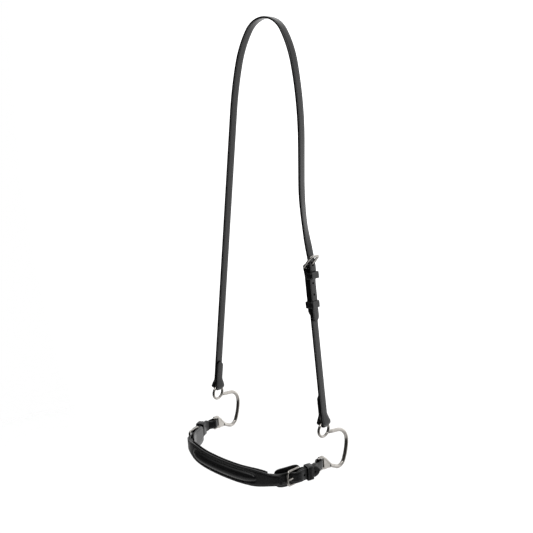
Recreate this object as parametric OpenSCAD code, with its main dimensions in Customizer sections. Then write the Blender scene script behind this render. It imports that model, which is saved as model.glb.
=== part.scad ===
// Kineton noseband on its own headpiece, as it hangs from the poll.
// A leather strap runs over the poll and carries a steel loop on each side; a padded
// nosepiece is buckled to the lower eye of each loop. All sizes are millimetres.
//
// Frame: +Z up, -Y towards the horse's nose, +X towards the buckled side. The origin is
// the underside of the crown strap at its highest point, in the middle of its width.

/* [Headpiece] */
// Width of the crown strap and the cheek strap
strap_w = 12.5; // [11:0.5:14]
// Thickness of the bridle leather
strap_t = 2.8; // [2.4:0.1:3]
// Radius of the bend over the poll, to the middle of the leather
crown_r = 36.8; // [34:0.2:39]
// Height from the loops' rings up to the poll
drop = 532.5; // [520:0.5:550]
// Half the distance between the two loops
half_span = 101.5; // [99:0.5:107]
// How far the nosepiece hangs to the buckled side of the poll
side_shift = 4; // [2:1:6]
// Height of the crown buckle's pivot bar below the poll
buckle_drop = 314; // [310:0.5:318]
// Length of the crown strap past the buckle's pivot bar
tail_l = 72; // [66:1:80]
// Length of the stitched double end of the cheek strap at the buckle
chape_l = 68; // [60:1:74]
// Length of each stitched double end at a ring
turn_l = 40; // [34:1:46]

/* [Loops] */
// Diameter of the loop's steel rod
rod_d = 5.5; // [5:0.1:6]
// Diameter of the steel of the ring at the top
ring_rod_d = 4; // [3.6:0.1:4.2]
// Radius of the ring, to the middle of its steel
ring_r = 9.5; // [9:0.1:10]
// How far the back of each loop stands outwards, in degrees
loop_splay = 4; // [3:0.5:5]
// How far the back of the loop hangs down, in degrees
loop_tilt = 7; // [5:1:9]
// Diameter of the bar that the nosepiece is buckled to
eye_bar_d = 3.8; // [3.6:0.1:4]
// Height of the slot beside that bar
eye_slot_h = 14.4; // [14.2:0.1:14.8]

/* [Nosepiece] */
// Width of the billets and the chapes
billet_w = 16; // [15:0.5:16.5]
// Width of the padded middle
pad_w = 25; // [24:1:30]
// Width of the raised bead along the pad
bead_w = 13; // [11:1:15]
// Height that the bead stands above the cover
bead_h = 3.2; // [2.6:0.2:4]
// How far the front of the nosepiece droops, in degrees
nose_droop = 4.5; // [3:0.5:8]
// How far each buckle closes in towards the front, in degrees
side_taper = 20; // [18:1:22]

/* [Buckles] */
// Distance from pivot bar to front bar
frame_l = 19; // [18.5:0.5:20]
// Width of a nose buckle's frame, between the middles of its side bars
frame_w = 20; // [19.5:0.5:21]
// Width of the crown buckle's frame, between the middles of its side bars
crown_frame_w = 16.5; // [16.5:0.5:18]
// Diameter of the frame's wire
frame_d = 3; // [2.8:0.1:3.2]
// Diameter of the tongue
tongue_d = 2.6; // [2.4:0.1:2.8]
// Width of a sliding keeper
keeper_w = 9; // [8:0.5:9]
// Thickness of the keeper leather
keeper_t = 1.7; // [1.5:0.1:2]

/* [Hidden] */
$fn = 40;

black_leather = [0.09, 0.09, 0.1];
edge_leather = [0.05, 0.05, 0.06];
thread_black = [0.02, 0.02, 0.02];
steel = [0.78, 0.77, 0.75];

// Clearances
fit_gap = 0.3;          // between pieces of leather that lie on each other and move
layer_gap = 0.1;        // between leather that is sewn together
keeper_gap = 0.5;       // between a keeper and the faces of its stack
// Crown arc and the bends below it: [length, turn] stretches, in mm and degrees
crown_half_angle = 56;
shoulder_r = 129.5;
shoulder_turn = 20;
flank_r = 440;
right_flank_turn = 13;
left_flank_turn = 8.5;
right_straight = 48;
flare_r = 320;
flare_turn = 15.7;
// Cheek strap line
ring_z = -drop;
right_x = side_shift + half_span;
left_x = side_shift - half_span;
turn_z = ring_z + ring_r;
pivot = [75.3, -buckle_drop];
cheek_lean = atan2(right_x - pivot[0], pivot[1] - turn_z);
cheek_l = norm([right_x - pivot[0], pivot[1] - turn_z]);
// Folds: bore and ply of the leather that is turned round a bar
ring_fold_r = 3.7;
ring_fold_ply = 2.4;
ring_fold_reach = 12;
neck_w = 7;
ear_w = 16.5;
buckle_fold_r = frame_d / 2 + 0.35;
buckle_fold_reach = 11;
eye_fold_r = eye_bar_d / 2 + 0.8;
chape_ply = 2.3;
eye_fold_reach = 10;
eye_chape_w = 12.6;
// Frames' rest angles and places
crown_frame_tilt = 45;
nose_frame_tilt = 11.5;
tongue_eye_r = frame_d / 2 + 0.1;
pin_off = tongue_eye_r + tongue_d / 2 + 0.15;
chape_lean = 17;        // outward lean of a chape where it leaves the eye, in degrees
chape_run = 38;         // length of a chape from the eye bar to the pivot bar
nose_fold_reach = 8.5;
billet_back = 30.5;     // from the pivot bar back to the tip of the billet
// Loop
eye_at = [-3, -47.5];
eye_y = eye_at[0] * cos(loop_tilt) + eye_at[1] * sin(loop_tilt);
eye_z = ring_z - eye_at[0] * sin(loop_tilt) + eye_at[1] * cos(loop_tilt);
eye_plate_t = 4.4;
eye_rim = 2;
slot_depth = 5.6;
// Pad layers
cover_t = 2.2;
lining_t = 2;
pad_half = 58;
pad_taper = 36;
lining_short = 19;      // how far the lining stops short of the cover's ends
stitch_l = 2.6;
stitch_d = 0.7;
stitch_h = 0.35;        // height that a stitch stands above the leather
stitch_pitch = 4;

// One stretch further along a route: pose is [x, y, heading], turn is in degrees.
function step(pose, length, turn) =
    let (chord = turn == 0 ? length : length * sin(turn / 2) / (turn / 2 * PI / 180))
    [pose[0] + chord * cos(pose[2] + turn / 2), pose[1] + chord * sin(pose[2] + turn / 2),
     pose[2] + turn];

// Poses along a route of [length, turn] stretches, one about every 3 degrees of bend.
function walk(pose, stretches, i = 0) =
    i == len(stretches) ? [pose]
    : let (s = stretches[i], n = max(1, ceil(abs(s[1]) / 3)))
      concat([for (k = [0:n - 1]) step(pose, s[0] * k / n, s[1] * k / n)],
             walk(step(pose, s[0], s[1]), stretches, i + 1));

// The pose at a distance along a route.
function along(pose, stretches, d, i = 0) =
    let (s = stretches[i])
    d <= s[0] || i == len(stretches) - 1 ? step(pose, d, s[1] * d / s[0])
    : along(step(pose, s[0], s[1]), stretches, d - s[0], i + 1);

function arc(r, turn) = [r * abs(turn) * PI / 180, turn];

function flipped(pose) = [-pose[0], pose[1], 180 - pose[2]];

// The point at side distance off, to the left of a pose.
function beside(pose, off) =
    [pose[0] - off * sin(pose[2]), pose[1] + off * cos(pose[2])];

// Outline of a strip that follows poses, from side distance a to side distance b.
module strip(poses, a, b) {
    polygon(concat([for (p = poses) beside(p, a)],
                   [for (i = [len(poses) - 1:-1:0]) beside(poses[i], b)]));
}

// Stands a profile drawn in X and Z up, and gives it a width along Y.
module across(width) {
    rotate([90, 0, 0]) linear_extrude(width, center = true) children();
}

// Where the line from point p touches a circle of radius r round the origin.
function touch(p, r) =
    let (a = atan2(p[1], p[0]) + acos(r / norm(p))) [r * cos(a), r * sin(a)];

// Points round a circle on the X axis, from angle a to angle b
function round_points(centre, r, a, b) =
    [for (k = [0:24]) let (t = a + (b - a) * k / 24) [centre + r * cos(t), r * sin(t)]];

// Angle of the point at which the line from [reach, height] touches a fold
function leaving_angle(reach, height, r) =
    let (p = touch([reach, height], r)) atan2(p[1], p[0]);

// Side profile of leather folded round a bar at the origin: the plies meet at reach
// and lie on each other as far as length. The hole for the bar is fold_hole.
module fold_profile(bore, ply, reach, length) {
    a = leaving_angle(reach, ply, bore + ply);
    polygon(concat(
        round_points(0, bore + ply, a, 360 - a),
        [[reach, -ply], [length, -ply], [length, ply], [reach, ply]]
    ));
}

module fold_hole(bore, reach) {
    a = leaving_angle(reach - 1, 0, bore);
    polygon(concat(round_points(0, bore, a, 360 - a), [[reach - 1, 0]]));
}

// ---- Headpiece -------------------------------------------------------------

apex = [0, strap_t / 2, 0];
right_shoulder = step(apex, arc(crown_r, -crown_half_angle)[0], -crown_half_angle);
left_shoulder = flipped(right_shoulder);

// The crown strap in the buckle's own plane: down along it, out from it.
tail_off = strap_t * 1.5 + layer_gap;
tail_path = [[14, -20.5], [6, 0], [7, 12], [tail_l - 22, 0]];
right_route = [
    arc(shoulder_r, -shoulder_turn), arc(flank_r, -right_flank_turn),
    [right_straight, 0], arc(flare_r, flare_turn)
];
left_route = [arc(shoulder_r, -shoulder_turn), arc(flank_r, -left_flank_turn)];

// A point given down along the cheek strap and out from it, as X and Z.
function cheek_point(down, out) =
    [pivot[0] + down * sin(cheek_lean) + out * cos(cheek_lean),
     pivot[1] - down * cos(cheek_lean) + out * sin(cheek_lean)];

tail_start = concat(cheek_point(-4, 6.75), [cheek_lean - 90 + 8.5]);

// Puts something in the cheek strap's own frame: Z up along the strap, X outwards.
module on_cheek() {
    translate([pivot[0], 0, pivot[1]]) rotate([0, -cheek_lean, 0]) children();
}

// Frame of the left strap end: the origin is the middle of the ring's steel.
left_pose = let (e = walk(right_shoulder, left_route)) flipped(e[len(e) - 1]);
left_lean = atan2(left_pose[0] - left_x, left_pose[1] - turn_z);
left_l = norm([left_pose[0] - left_x, left_pose[1] - turn_z]);
module on_left_end() {
    translate([left_x, 0, turn_z]) rotate([0, left_lean, 0]) children();
}
module on_right_end() {
    translate([right_x, 0, turn_z]) rotate([0, -cheek_lean, 0]) children();
}

// A strap end turned round a ring: cut to a neck, with ears above it. Z is up the strap.
module ring_end(length) {
    difference() {
        intersection() {
            rotate([0, -90, 0]) across(ear_w + 1) {
                fold_profile(ring_fold_r, ring_fold_ply, ring_fold_reach, ring_fold_reach + 1);
                translate([ring_fold_reach, -strap_t]) square([length - ring_fold_reach, 2 * strap_t]);
            }
            rotate([90, 0, 90]) linear_extrude(30, center = true) ear_outline(length);
        }
        rotate([0, -90, 0]) across(ear_w + 2) fold_hole(ring_fold_r, ring_fold_reach);
    }
}

// Front view of a turned end: neck, ears, then the plain strap with a tapered tip.
module ear_outline(length) {
    half = strap_w / 2;
    polygon([
        [-neck_w / 2, -9], [neck_w / 2, -9], [neck_w / 2, -3.5], [ear_w / 2, 0.7],
        [ear_w / 2, 3], [half, 13], [half, length - 5], [half - 3, length],
        [3 - half, length], [-half, length - 5], [-half, 13], [-ear_w / 2, 3],
        [-ear_w / 2, 0.7], [-neck_w / 2, -3.5]
    ]);
}

module hole_row(first, pitch, count) {
    for (k = [0:count - 1])
        translate([0, 0, -first - k * pitch]) rotate([0, 90, 0]) cylinder(d = 3.4, h = 30, center = true);
}

module crown_strap() {
    color(black_leather) difference() {
        union() {
            // the bend over the poll is a true cylinder
            translate([0, 0, strap_t / 2 - crown_r]) rotate([90, 0, 0])
                rotate([0, 0, 90 - crown_half_angle]) translate([0, 0, -strap_w / 2])
                rotate_extrude(angle = 2 * crown_half_angle, $fn = 96)
                translate([crown_r - strap_t / 2, 0]) square([strap_t, strap_w]);
            across(strap_w) {
                strip(concat(walk(right_shoulder, right_route), walk(tail_start, tail_path)),
                      -strap_t / 2, strap_t / 2);
                strip(concat([for (p = walk(right_shoulder, left_route)) flipped(p)],
                             [concat(left_end_top, [270 - left_lean])]),
                      -strap_t / 2, strap_t / 2);
            }
            for (side = [-1, 1]) shoulder_seam(side);
            on_left_end() ring_end(turn_l);
        }
        on_cheek() {
            tongue_slot();
            hole_row(22, 15, 3);
        }
        tail_tip_cut();
    }
}

// A thin slab that ties the bend over the poll to the straight strap below it
module shoulder_seam(side) {
    translate([side * right_shoulder[0], 0, right_shoulder[1]])
        rotate([0, side * crown_half_angle, 0])
        cube([0.2, strap_w + 0.04, strap_t + 0.04], center = true);
}

// Top of the left doubled end, in the middle of the outer ply
left_end_top = [left_x + (turn_l - 1) * sin(left_lean) - strap_t / 2 * cos(left_lean),
                turn_z + (turn_l - 1) * cos(left_lean) + strap_t / 2 * sin(left_lean)];

// The slanted slot that the tongue passes through, with room for the tongue to lift
module tongue_slot() {
    rotate([0, crown_frame_tilt, 0]) translate([pin_off + 0.3, 0, 8.5])
        cube([tongue_d + 1.8, tongue_d + 0.9, 13], center = true);
}

// Rounds off the free end of the crown strap
module tail_tip_cut() {
    on_cheek() translate([tail_off, 0, -tail_l]) difference() {
        translate([-6, -10, -4]) cube([12, 20, 10]);
        rotate([0, 90, 0]) translate([-6, 0, -6]) cylinder(d = strap_w, h = 12);
        translate([-6, -10, 6]) cube([12, 20, 6]);
    }
}

module cheek_strap() {
    color(black_leather) {
        difference() {
            union() {
                on_cheek() rotate([0, 90, 0]) across(strap_w) {
                    fold_profile(buckle_fold_r, strap_t - 0.4, buckle_fold_reach, 12);
                    translate([11, -strap_t]) square([chape_l - 11, 2 * strap_t]);
                    translate([11, 0]) square([cheek_l - 11 - 25, strap_t]);
                }
                on_right_end() ring_end(turn_l);
            }
            on_cheek() {
                rotate([0, 90, 0]) across(strap_w + 1)
                    fold_hole(buckle_fold_r, buckle_fold_reach);
                fold_slot(4);
                chape_tip_cut();
            }
        }
    }
}

// The oblong hole in a buckle fold that the tongue moves in. The strap runs down Z.
module fold_slot(width) {
    translate([-8, -width / 2, -9]) cube([16, width, 18]);
}

// Tapers the end of the inner ply
module chape_tip_cut() {
    for (side = [-1, 1])
        translate([-strap_t, side * strap_w / 2, -chape_l]) rotate([side * 25, 0, 0])
            cube([2 * strap_t - 0.02, 5, 26], center = true);
}

// A band of leather round a stack: inner size [thickness, width], length along Z
module band(inner, thick, length) {
    linear_extrude(length, center = true) difference() {
        square([inner[0] + 2 * thick, inner[1] + 2 * thick], center = true);
        square(inner, center = true);
    }
}

// Fixed keeper: its ends are sewn to the chape, and it holds down the tail only.
module crown_fixed_keeper() {
    color(edge_leather) on_cheek()
        translate([strap_t + layer_gap + 3.4, 0, -11.5]) difference() {
            band([6.8, strap_w + 1], keeper_t, keeper_w);
            translate([-8.4, -20, -20]) cube([5, 40, 40]);
        }
}

crown_keeper_at = 50;
module crown_sliding_keeper() {
    stack = 3 * strap_t + layer_gap;
    color(edge_leather) on_cheek()
        translate([stack / 2 - strap_t, 0, -crown_keeper_at])
        band([stack + 2 * keeper_gap, strap_w + 2 * fit_gap], keeper_t, keeper_w);
}

// A run of stitches up Z on the face at out, at side distance side
module stitch_run(from, to, out, side) {
    for (z = [from:stitch_pitch:to])
        translate([out + sign(out) * (stitch_h / 2 + 0.02), side, z])
            cube([stitch_h, stitch_d, stitch_l], center = true);
}

module left_end_stitching() {
    color(thread_black) on_left_end()
        for (face = [-1, 1], side = [-1, 1])
            stitch_run(18, turn_l - 7, face * strap_t, side * (strap_w / 2 - 1.8));
}

module right_end_stitching() {
    color(thread_black) on_right_end()
        for (face = [-1, 1], side = [-1, 1])
            stitch_run(18, turn_l - 7, face * strap_t, side * (strap_w / 2 - 1.8));
}

module crown_chape_stitching() {
    color(thread_black) on_cheek()
        for (side = [-1, 1])
            stitch_run(-chape_l + 8, -20, -strap_t, side * (strap_w / 2 - 1.8));
}

// ---- Buckles ---------------------------------------------------------------

// Steel rod along a route in the XY plane; each stretch is [length, turn].
module rod(pose, stretches, d) {
    for (i = [0:len(stretches) - 1]) {
        s = stretches[i];
        p = start_of(pose, stretches, i);
        r = s[1] == 0 ? 0 : s[0] / (abs(s[1]) * PI / 180);
        // a thin disc ties each stretch to the one before it
        translate([p[0], p[1], 0]) rotate([0, 90, p[2]]) cylinder(d = d + 0.04, h = 0.2, center = true);
        if (s[1] == 0)
            translate([p[0], p[1], 0]) rotate([0, 90, p[2]]) cylinder(d = d, h = s[0]);
        else if (s[1] > 0)
            translate(concat(beside(p, r), [0])) rotate([0, 0, p[2] - 90])
                rotate_extrude(angle = s[1]) translate([r, 0]) circle(d = d);
        else
            translate(concat(beside(p, -r), [0])) rotate([0, 0, p[2] + 90 + s[1]])
                rotate_extrude(angle = -s[1]) translate([r, 0]) circle(d = d);
    }
}

function start_of(pose, stretches, i, k = 0) =
    k == i ? pose : start_of(step(pose, stretches[k][0], stretches[k][1]), stretches, i, k + 1);

// Buckle frame in the YZ plane: the pivot bar lies along Y at the origin, and the frame
// reaches up Z to the front bar.
module frame(width) {
    near = 1.6;
    far = 3.6;
    pivot_bar = width - 2 * near;
    front_bar = width - 2 * far;
    side = [frame_l - near - far, 0];
    near_bend = arc(near, 90);
    far_bend = arc(far, 90);
    color(steel) rotate([90, 0, 90])
        rod([-pivot_bar / 2, 0, 0],
            [[pivot_bar, 0], near_bend, side, far_bend, [front_bar, 0], far_bend, side, near_bend],
            frame_d);
}

// Tongue: a ring round the pivot bar and a straight pin to the front bar's far face
module tongue() {
    eye_w = 3;
    color(steel) {
        rotate([90, 0, 0]) difference() {
            cylinder(r = tongue_eye_r + 1.1, h = eye_w, center = true);
            cylinder(r = tongue_eye_r, h = eye_w + 1, center = true);
        }
        translate([pin_off, 0, 0.6]) cylinder(d = tongue_d, h = frame_l + 0.6);
        translate([pin_off, 0, frame_l + 1.2]) sphere(d = tongue_d);
    }
}

module crown_buckle_frame() {
    on_cheek() rotate([0, crown_frame_tilt, 0]) frame(crown_frame_w);
}

module crown_buckle_tongue() {
    on_cheek() rotate([0, crown_frame_tilt, 0]) tongue();
}

// ---- Loops -----------------------------------------------------------------

// One loop in its own plane: ring at the origin, Y back, Z up.
module loop() {
    bow = [[18, 0], [30.5, -84], [27, -22], [17.6, -92], [15, 0]];
    color(steel) {
        rotate([90, 0, 90]) {
            rotate_extrude() translate([ring_r, 0]) circle(d = ring_rod_d);
            rod([10.5, -4.5, 0], bow, rod_d);
        }
        translate([0, eye_at[0], eye_at[1]]) rotate([nose_droop + loop_tilt, 0, 0]) eye();
    }
}

// The lower eye: a flat plate with a slot, closed at the front by a round bar
module eye() {
    bar_r = eye_bar_d / 2;
    half = eye_slot_h / 2;
    back = slot_depth + bar_r;
    rotate([90, 0, 90]) linear_extrude(eye_plate_t, center = true) difference() {
        polygon([
            [-bar_r, -half - eye_rim + 1], [0, -half - eye_rim], [back, -half - eye_rim - 0.6],
            [back + 3, -half - 4.2], [back + 9, -half - 4.9], [back + 12.5, -half - 5.8],
            [back + 14, -8.3], [back + 10.5, -3.5], [back + 6.5, 2], [back + 2.5, 6],
            [back, half + eye_rim], [0, half + eye_rim], [-bar_r, half + eye_rim - 1]
        ]);
        translate([-bar_r - 1, -half]) square([back + 1, eye_slot_h]);
    }
    cylinder(d = eye_bar_d, h = eye_slot_h + 1, center = true);
}

// A loop is turned about the line from its ring to its eye
module hung_loop(x, splay) {
    translate([x, 0, ring_z]) rotate(splay, [0, eye_y, eye_z - ring_z])
        rotate([-loop_tilt, 0, 0]) loop();
}

module left_loop() hung_loop(left_x, -loop_splay);
module right_loop() hung_loop(right_x, loop_splay);

// ---- Nosepiece -------------------------------------------------------------

// Frame of the nosepiece: X across, Y back from the eye bars, Z up its width
module on_nose() {
    translate([side_shift, eye_y, eye_z]) rotate([nose_droop, 0, 0]) children();
}

// Plan of a chape: poses lead forward from the eye bar to the pivot bar
eye_pose = [half_span, 0, chape_lean - 90];
chape_route = [[8, 0], [12, -side_taper - chape_lean], [chape_run - 20, 0]];
pivot_pose = start_of(eye_pose, chape_route, 3);

// Frame of a pose in the plan: -Y leads forward, X outwards
module on_plan(side, pose) {
    on_nose() mirror([side < 0 ? 1 : 0, 0, 0])
        translate([pose[0], pose[1], 0]) rotate([0, 0, pose[2] + 90]) children();
}

// Plan of half the nose strap, from the middle of the nose to the tip of the billet.
// It starts so far ahead that it meets the buckle.
function in_frame(pose, p) =
    [pose[0] + p[0] * cos(pose[2]) - p[1] * sin(pose[2]),
     pose[1] + p[0] * sin(pose[2]) + p[1] * cos(pose[2])];

under_bar = in_frame(pivot_pose, [20, -0.6]);
free_bends = [[24, 4], [60, 23], [17, 63 - side_taper]];
free_end = start_of([0, 0, 0], free_bends, 3);
nose_start = [0, under_bar[1] - free_end[1], 0];
nose_bends = [[24 + under_bar[0] - free_end[0], 4], free_bends[1], free_bends[2]];
billet_bends = [[6, -36], [5.1, 0], [6, 36], [3, 0], [4, 16], [1.5, 0], [4, -16], [21.3, 0]];
nose_route = concat(nose_bends, billet_bends);

// Both halves of the plan, from distance 0 to d each way
function both(d) =
    let (n = 40, half = [for (k = [0:n]) along(nose_start, nose_route, d * k / n)])
    concat([for (k = [n:-1:1]) [-half[k][0], half[k][1], -half[k][2]]], half);

function whole() =
    let (half = walk(nose_start, nose_route))
    concat([for (k = [len(half) - 1:-1:1]) [-half[k][0], half[k][1], -half[k][2]]], half);

module nose_strap() {
    color(black_leather) difference() {
        on_nose() linear_extrude(billet_w, center = true) strip(whole(), -strap_t / 2, strap_t / 2);
        for (side = [-1, 1]) on_plan(side, pivot_pose) {
            nose_tongue_slot();
            billet_tip_cut();
            for (y = [5, 21.5]) translate([0, y, 0]) rotate([0, 90, 0]) cylinder(d = 3.4, h = 30);
        }
    }
}

// The slot in the billet that the tongue passes through
module nose_tongue_slot() {
    translate([0, -8, 0]) cube([24, 18, tongue_d + 1], center = true);
}

// Rounds off the tip of a billet
module billet_tip_cut() {
    translate([0, billet_back - billet_w / 2, 0]) difference() {
        translate([0, billet_w / 4 + 1, 0]) cube([30, billet_w / 2 + 2, billet_w + 2], center = true);
        rotate([0, 90, 0]) cylinder(d = billet_w, h = 40, center = true);
    }
}

// Front view of the pad: full width in the middle, drawn in to the strap at both ends
module pad_outline(width, half_l) {
    w = width / 2;
    e = billet_w / 2;
    rotate([90, 0, 0]) linear_extrude(400, center = true)
        polygon([
            [half_l, w], [half_l + pad_taper, e], [half_l + pad_taper, -e], [half_l, -w],
            [-half_l, -w], [-half_l - pad_taper, -e], [-half_l - pad_taper, e], [-half_l, w]
        ]);
}

pad_reach = pad_half + pad_taper;

module nose_cover() {
    inner = -strap_t / 2 - layer_gap;
    color(black_leather) on_nose() difference() {
        union() {
            intersection() {
                linear_extrude(pad_w, center = true)
                    strip(both(pad_reach), inner - cover_t, inner);
                pad_outline(pad_w, pad_half);
            }
            linear_extrude(bead_w, center = true)
                strip(both(pad_half), inner - cover_t - bead_h, inner - cover_t + 0.1);
        }
        linear_extrude(bead_w - 4, center = true)
            strip(both(pad_half - 3), inner - cover_t - bead_h + 1.6, inner + 1);
    }
}

module nose_core() {
    inner = -strap_t / 2 - layer_gap;
    color("tan") on_nose() linear_extrude(bead_w - 4.4, center = true)
        strip(both(pad_half - 3.4), inner - cover_t - bead_h + 1.8, inner);
}

module nose_lining() {
    face = strap_t / 2 + layer_gap;
    color(edge_leather) on_nose() intersection() {
        linear_extrude(pad_w - 1, center = true)
            strip(both(pad_reach - lining_short), face, face + lining_t);
        pad_outline(pad_w - 1, pad_half);
    }
}

module nose_stitching() {
    face = strap_t / 2 + layer_gap + cover_t + stitch_h / 2 + 0.05;
    color(thread_black) on_nose()
        for (side = [-1, 1], row = [-1, 1], edge = [bead_w / 2 + 1.2, pad_w / 2 - 1.8],
             d = [stitch_pitch / 2:stitch_pitch:pad_half - 3]) {
            p = along(nose_start, nose_route, d);
            spot = beside(p, -face);
            translate([side * spot[0], spot[1], row * edge]) rotate([0, 0, side * p[2]])
                cube([stitch_l, stitch_h, stitch_d], center = true);
        }
}

// Chape: folded round the eye bar and the buckle's pivot bar ahead of it
module chape(side) {
    color(black_leather) difference() {
        on_nose() mirror([side < 0 ? 1 : 0, 0, 0]) intersection() {
            linear_extrude(billet_w, center = true) chape_profile();
            rotate([90, 0, 90]) linear_extrude(300, center = true) chape_outline();
        }
        on_plan(side, eye_pose) rotate([0, 0, -90])
            linear_extrude(billet_w + 2, center = true) fold_hole(eye_fold_r, eye_fold_reach);
        on_plan(side, pivot_pose) {
            rotate([0, 0, 90]) linear_extrude(billet_w + 2, center = true)
                fold_hole(buckle_fold_r, nose_fold_reach);
            cube([16, 14, 4], center = true);
        }
    }
}

// Plan profile of a chape, as one closed outline
module chape_profile() {
    eye_r = eye_fold_r + chape_ply;
    pivot_r = buckle_fold_r + chape_ply;
    eye_a = leaving_angle(eye_fold_reach, chape_ply, eye_r);
    pivot_a = 180 - leaving_angle(nose_fold_reach, chape_ply, pivot_r);
    run = chape_run - nose_fold_reach - eye_fold_reach;
    plies = [for (k = [0:16]) along(eye_pose, chape_route, eye_fold_reach + run * k / 16)];
    polygon(concat(
        [for (p = round_points(0, eye_r, eye_a, 360 - eye_a)) in_frame(eye_pose, p)],
        [for (p = plies) beside(p, -chape_ply)],
        [for (p = round_points(0, pivot_r, -pivot_a, pivot_a)) in_frame(pivot_pose, p)],
        [for (k = [16:-1:0]) beside(plies[k], chape_ply)]
    ));
}

// Side view of a chape, Y and Z: narrow where it passes through the eye
module chape_outline() {
    e = eye_chape_w / 2;
    w = billet_w / 2;
    polygon([[8, -e], [-8, -e], [-12, -w], [-60, -w], [-60, w], [-12, w], [-8, e], [8, e]]);
}

module left_chape() chape(-1);
module right_chape() chape(1);

// Safe: the wide flap behind the buckle that keeps it off the horse's cheek
safe_w = 28;
safe_l = 37;
safe_drop = 1.5;        // the safe hangs a little lower than its buckle
module safe(side) {
    t = 2;
    back_y = 5;
    start = [-buckle_fold_r - chape_ply - fit_gap - t / 2, back_y, -90];
    route = [[20, 0], [16, -26], [9, -4]];
    color(edge_leather) on_plan(side, pivot_pose) translate([0, 0, -safe_drop]) intersection() {
        linear_extrude(safe_w, center = true) strip(walk(start, route), -t / 2, t / 2);
        rotate([90, 0, 90]) linear_extrude(80, center = true)
            translate([back_y - safe_l / 2, 0]) offset(10) square([safe_l - 20, safe_w - 20], center = true);
    }
}

module left_safe() safe(-1);
module right_safe() safe(1);

// Each stitch is [distance from the eye bar, height of its underside above the leather]:
// more height on the bend, less under the keeper.
module chape_stitching(side) {
    color(thread_black)
        for (spot = [[11, 0.22], [15, 0.22], [23, 0.06], [27, 0.06]], row = [-1, 1])
            on_plan(side, along(eye_pose, chape_route, spot[0]))
            translate([-chape_ply - stitch_h / 2 - spot[1], 0, row * (billet_w / 2 - 1.8)])
            cube([stitch_h, stitch_l, stitch_d], center = true);
}

module left_chape_stitching() chape_stitching(-1);
module right_chape_stitching() chape_stitching(1);

// Puts a buckle frame on its pivot bar: it points forward and tilts outwards
module at_pivot(side) {
    on_plan(side, pivot_pose) rotate([90, 0, 0]) rotate([0, nose_frame_tilt, 0]) children();
}

module left_buckle_frame() at_pivot(-1) frame(frame_w);
module right_buckle_frame() at_pivot(1) frame(frame_w);
module left_buckle_tongue() at_pivot(-1) tongue();
module right_buckle_tongue() at_pivot(1) tongue();

keeper_back = 14;
module keeper(side) {
    low = -chape_ply - keeper_gap;
    high = chape_ply + layer_gap + strap_t + 1.4;
    color(edge_leather) on_plan(side, pivot_pose)
        translate([(low + high) / 2, keeper_back, 0]) rotate([90, 0, 0])
        band([high - low, billet_w + 2 * fit_gap], keeper_t, keeper_w);
}

module left_keeper() keeper(-1);
module right_keeper() keeper(1);

crown_strap();
cheek_strap();
crown_fixed_keeper();
left_end_stitching();
right_end_stitching();
crown_chape_stitching();
crown_buckle_frame();
crown_buckle_tongue();
crown_sliding_keeper();
left_loop();
right_loop();
nose_strap();
nose_cover();
nose_core();
nose_lining();
nose_stitching();
left_chape();
right_chape();
left_safe();
right_safe();
left_chape_stitching();
right_chape_stitching();
left_buckle_frame();
right_buckle_frame();
left_buckle_tongue();
right_buckle_tongue();
left_keeper();
right_keeper();
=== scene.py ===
"""Kineton noseband: leather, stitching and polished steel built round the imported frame.

Lengths are millimetres in the row frame, and to_object turns them into metres. Only the
camera, the lights, the floor and the scales of the materials are in metres.
"""
import math

import bmesh
import bpy
from mathutils import Matrix, Vector


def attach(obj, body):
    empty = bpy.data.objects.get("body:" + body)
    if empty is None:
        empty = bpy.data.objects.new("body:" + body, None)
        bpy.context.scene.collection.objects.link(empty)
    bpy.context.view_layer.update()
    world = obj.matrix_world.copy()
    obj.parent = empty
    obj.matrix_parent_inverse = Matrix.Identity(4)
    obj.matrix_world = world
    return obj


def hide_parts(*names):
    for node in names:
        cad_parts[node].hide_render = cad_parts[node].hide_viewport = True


MM = 0.001

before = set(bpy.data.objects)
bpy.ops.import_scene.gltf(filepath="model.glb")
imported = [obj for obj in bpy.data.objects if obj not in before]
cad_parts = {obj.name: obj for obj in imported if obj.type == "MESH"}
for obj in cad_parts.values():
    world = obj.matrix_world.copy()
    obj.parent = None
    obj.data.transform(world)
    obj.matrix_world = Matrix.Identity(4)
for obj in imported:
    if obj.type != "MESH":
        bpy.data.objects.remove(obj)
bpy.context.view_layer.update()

# ---- Sizes shared with the CAD -------------------------------------------------
STRAP_W = 12.5
STRAP_T = 2.8
CROWN_R = 36.8
CROWN_HALF_ANGLE = 56.0
SHOULDER_R = 129.5
SHOULDER_TURN = 20.0
FLANK_R = 440.0
RIGHT_FLANK_TURN = 13.0
LEFT_FLANK_TURN = 8.5
RIGHT_STRAIGHT = 48.0
FLARE_R = 320.0
FLARE_TURN = 15.7
DROP = 532.5
HALF_SPAN = 101.5
SIDE_SHIFT = 4.0
BUCKLE_DROP = 314.0
TAIL_L = 72.0
CHAPE_L = 68.0
TURN_L = 40.0
ROD_D = 5.5
RING_ROD_D = 4.0
RING_R = 9.5
LOOP_TILT = 7.0
LOOP_SPLAY = 4.0
EYE_BAR_D = 3.8
EYE_SLOT_H = 14.4
BILLET_W = 16.0
PAD_W = 25.0
BEAD_W = 13.0
BEAD_H = 3.2
NOSE_DROOP = 4.5
SIDE_TAPER = 20.0
CHAPE_LEAN = 17.0
CHAPE_RUN = 38.0
FRAME_L = 19.0
FRAME_W = 20.0
CROWN_FRAME_W = 16.5
FRAME_D = 3.0
TONGUE_D = 2.6
KEEPER_W = 9.0
KEEPER_T = 1.7
KEEPER_CORNER_R = 1.6
FIXED_KEEPER_AT = 11.5
CROWN_KEEPER_AT = 50.0
CROWN_FRAME_TILT = 45.0
NOSE_FRAME_TILT = 11.5
RIGHT_X = SIDE_SHIFT + HALF_SPAN
LEFT_X = SIDE_SHIFT - HALF_SPAN
TURN_Z = -DROP + RING_R
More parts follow.
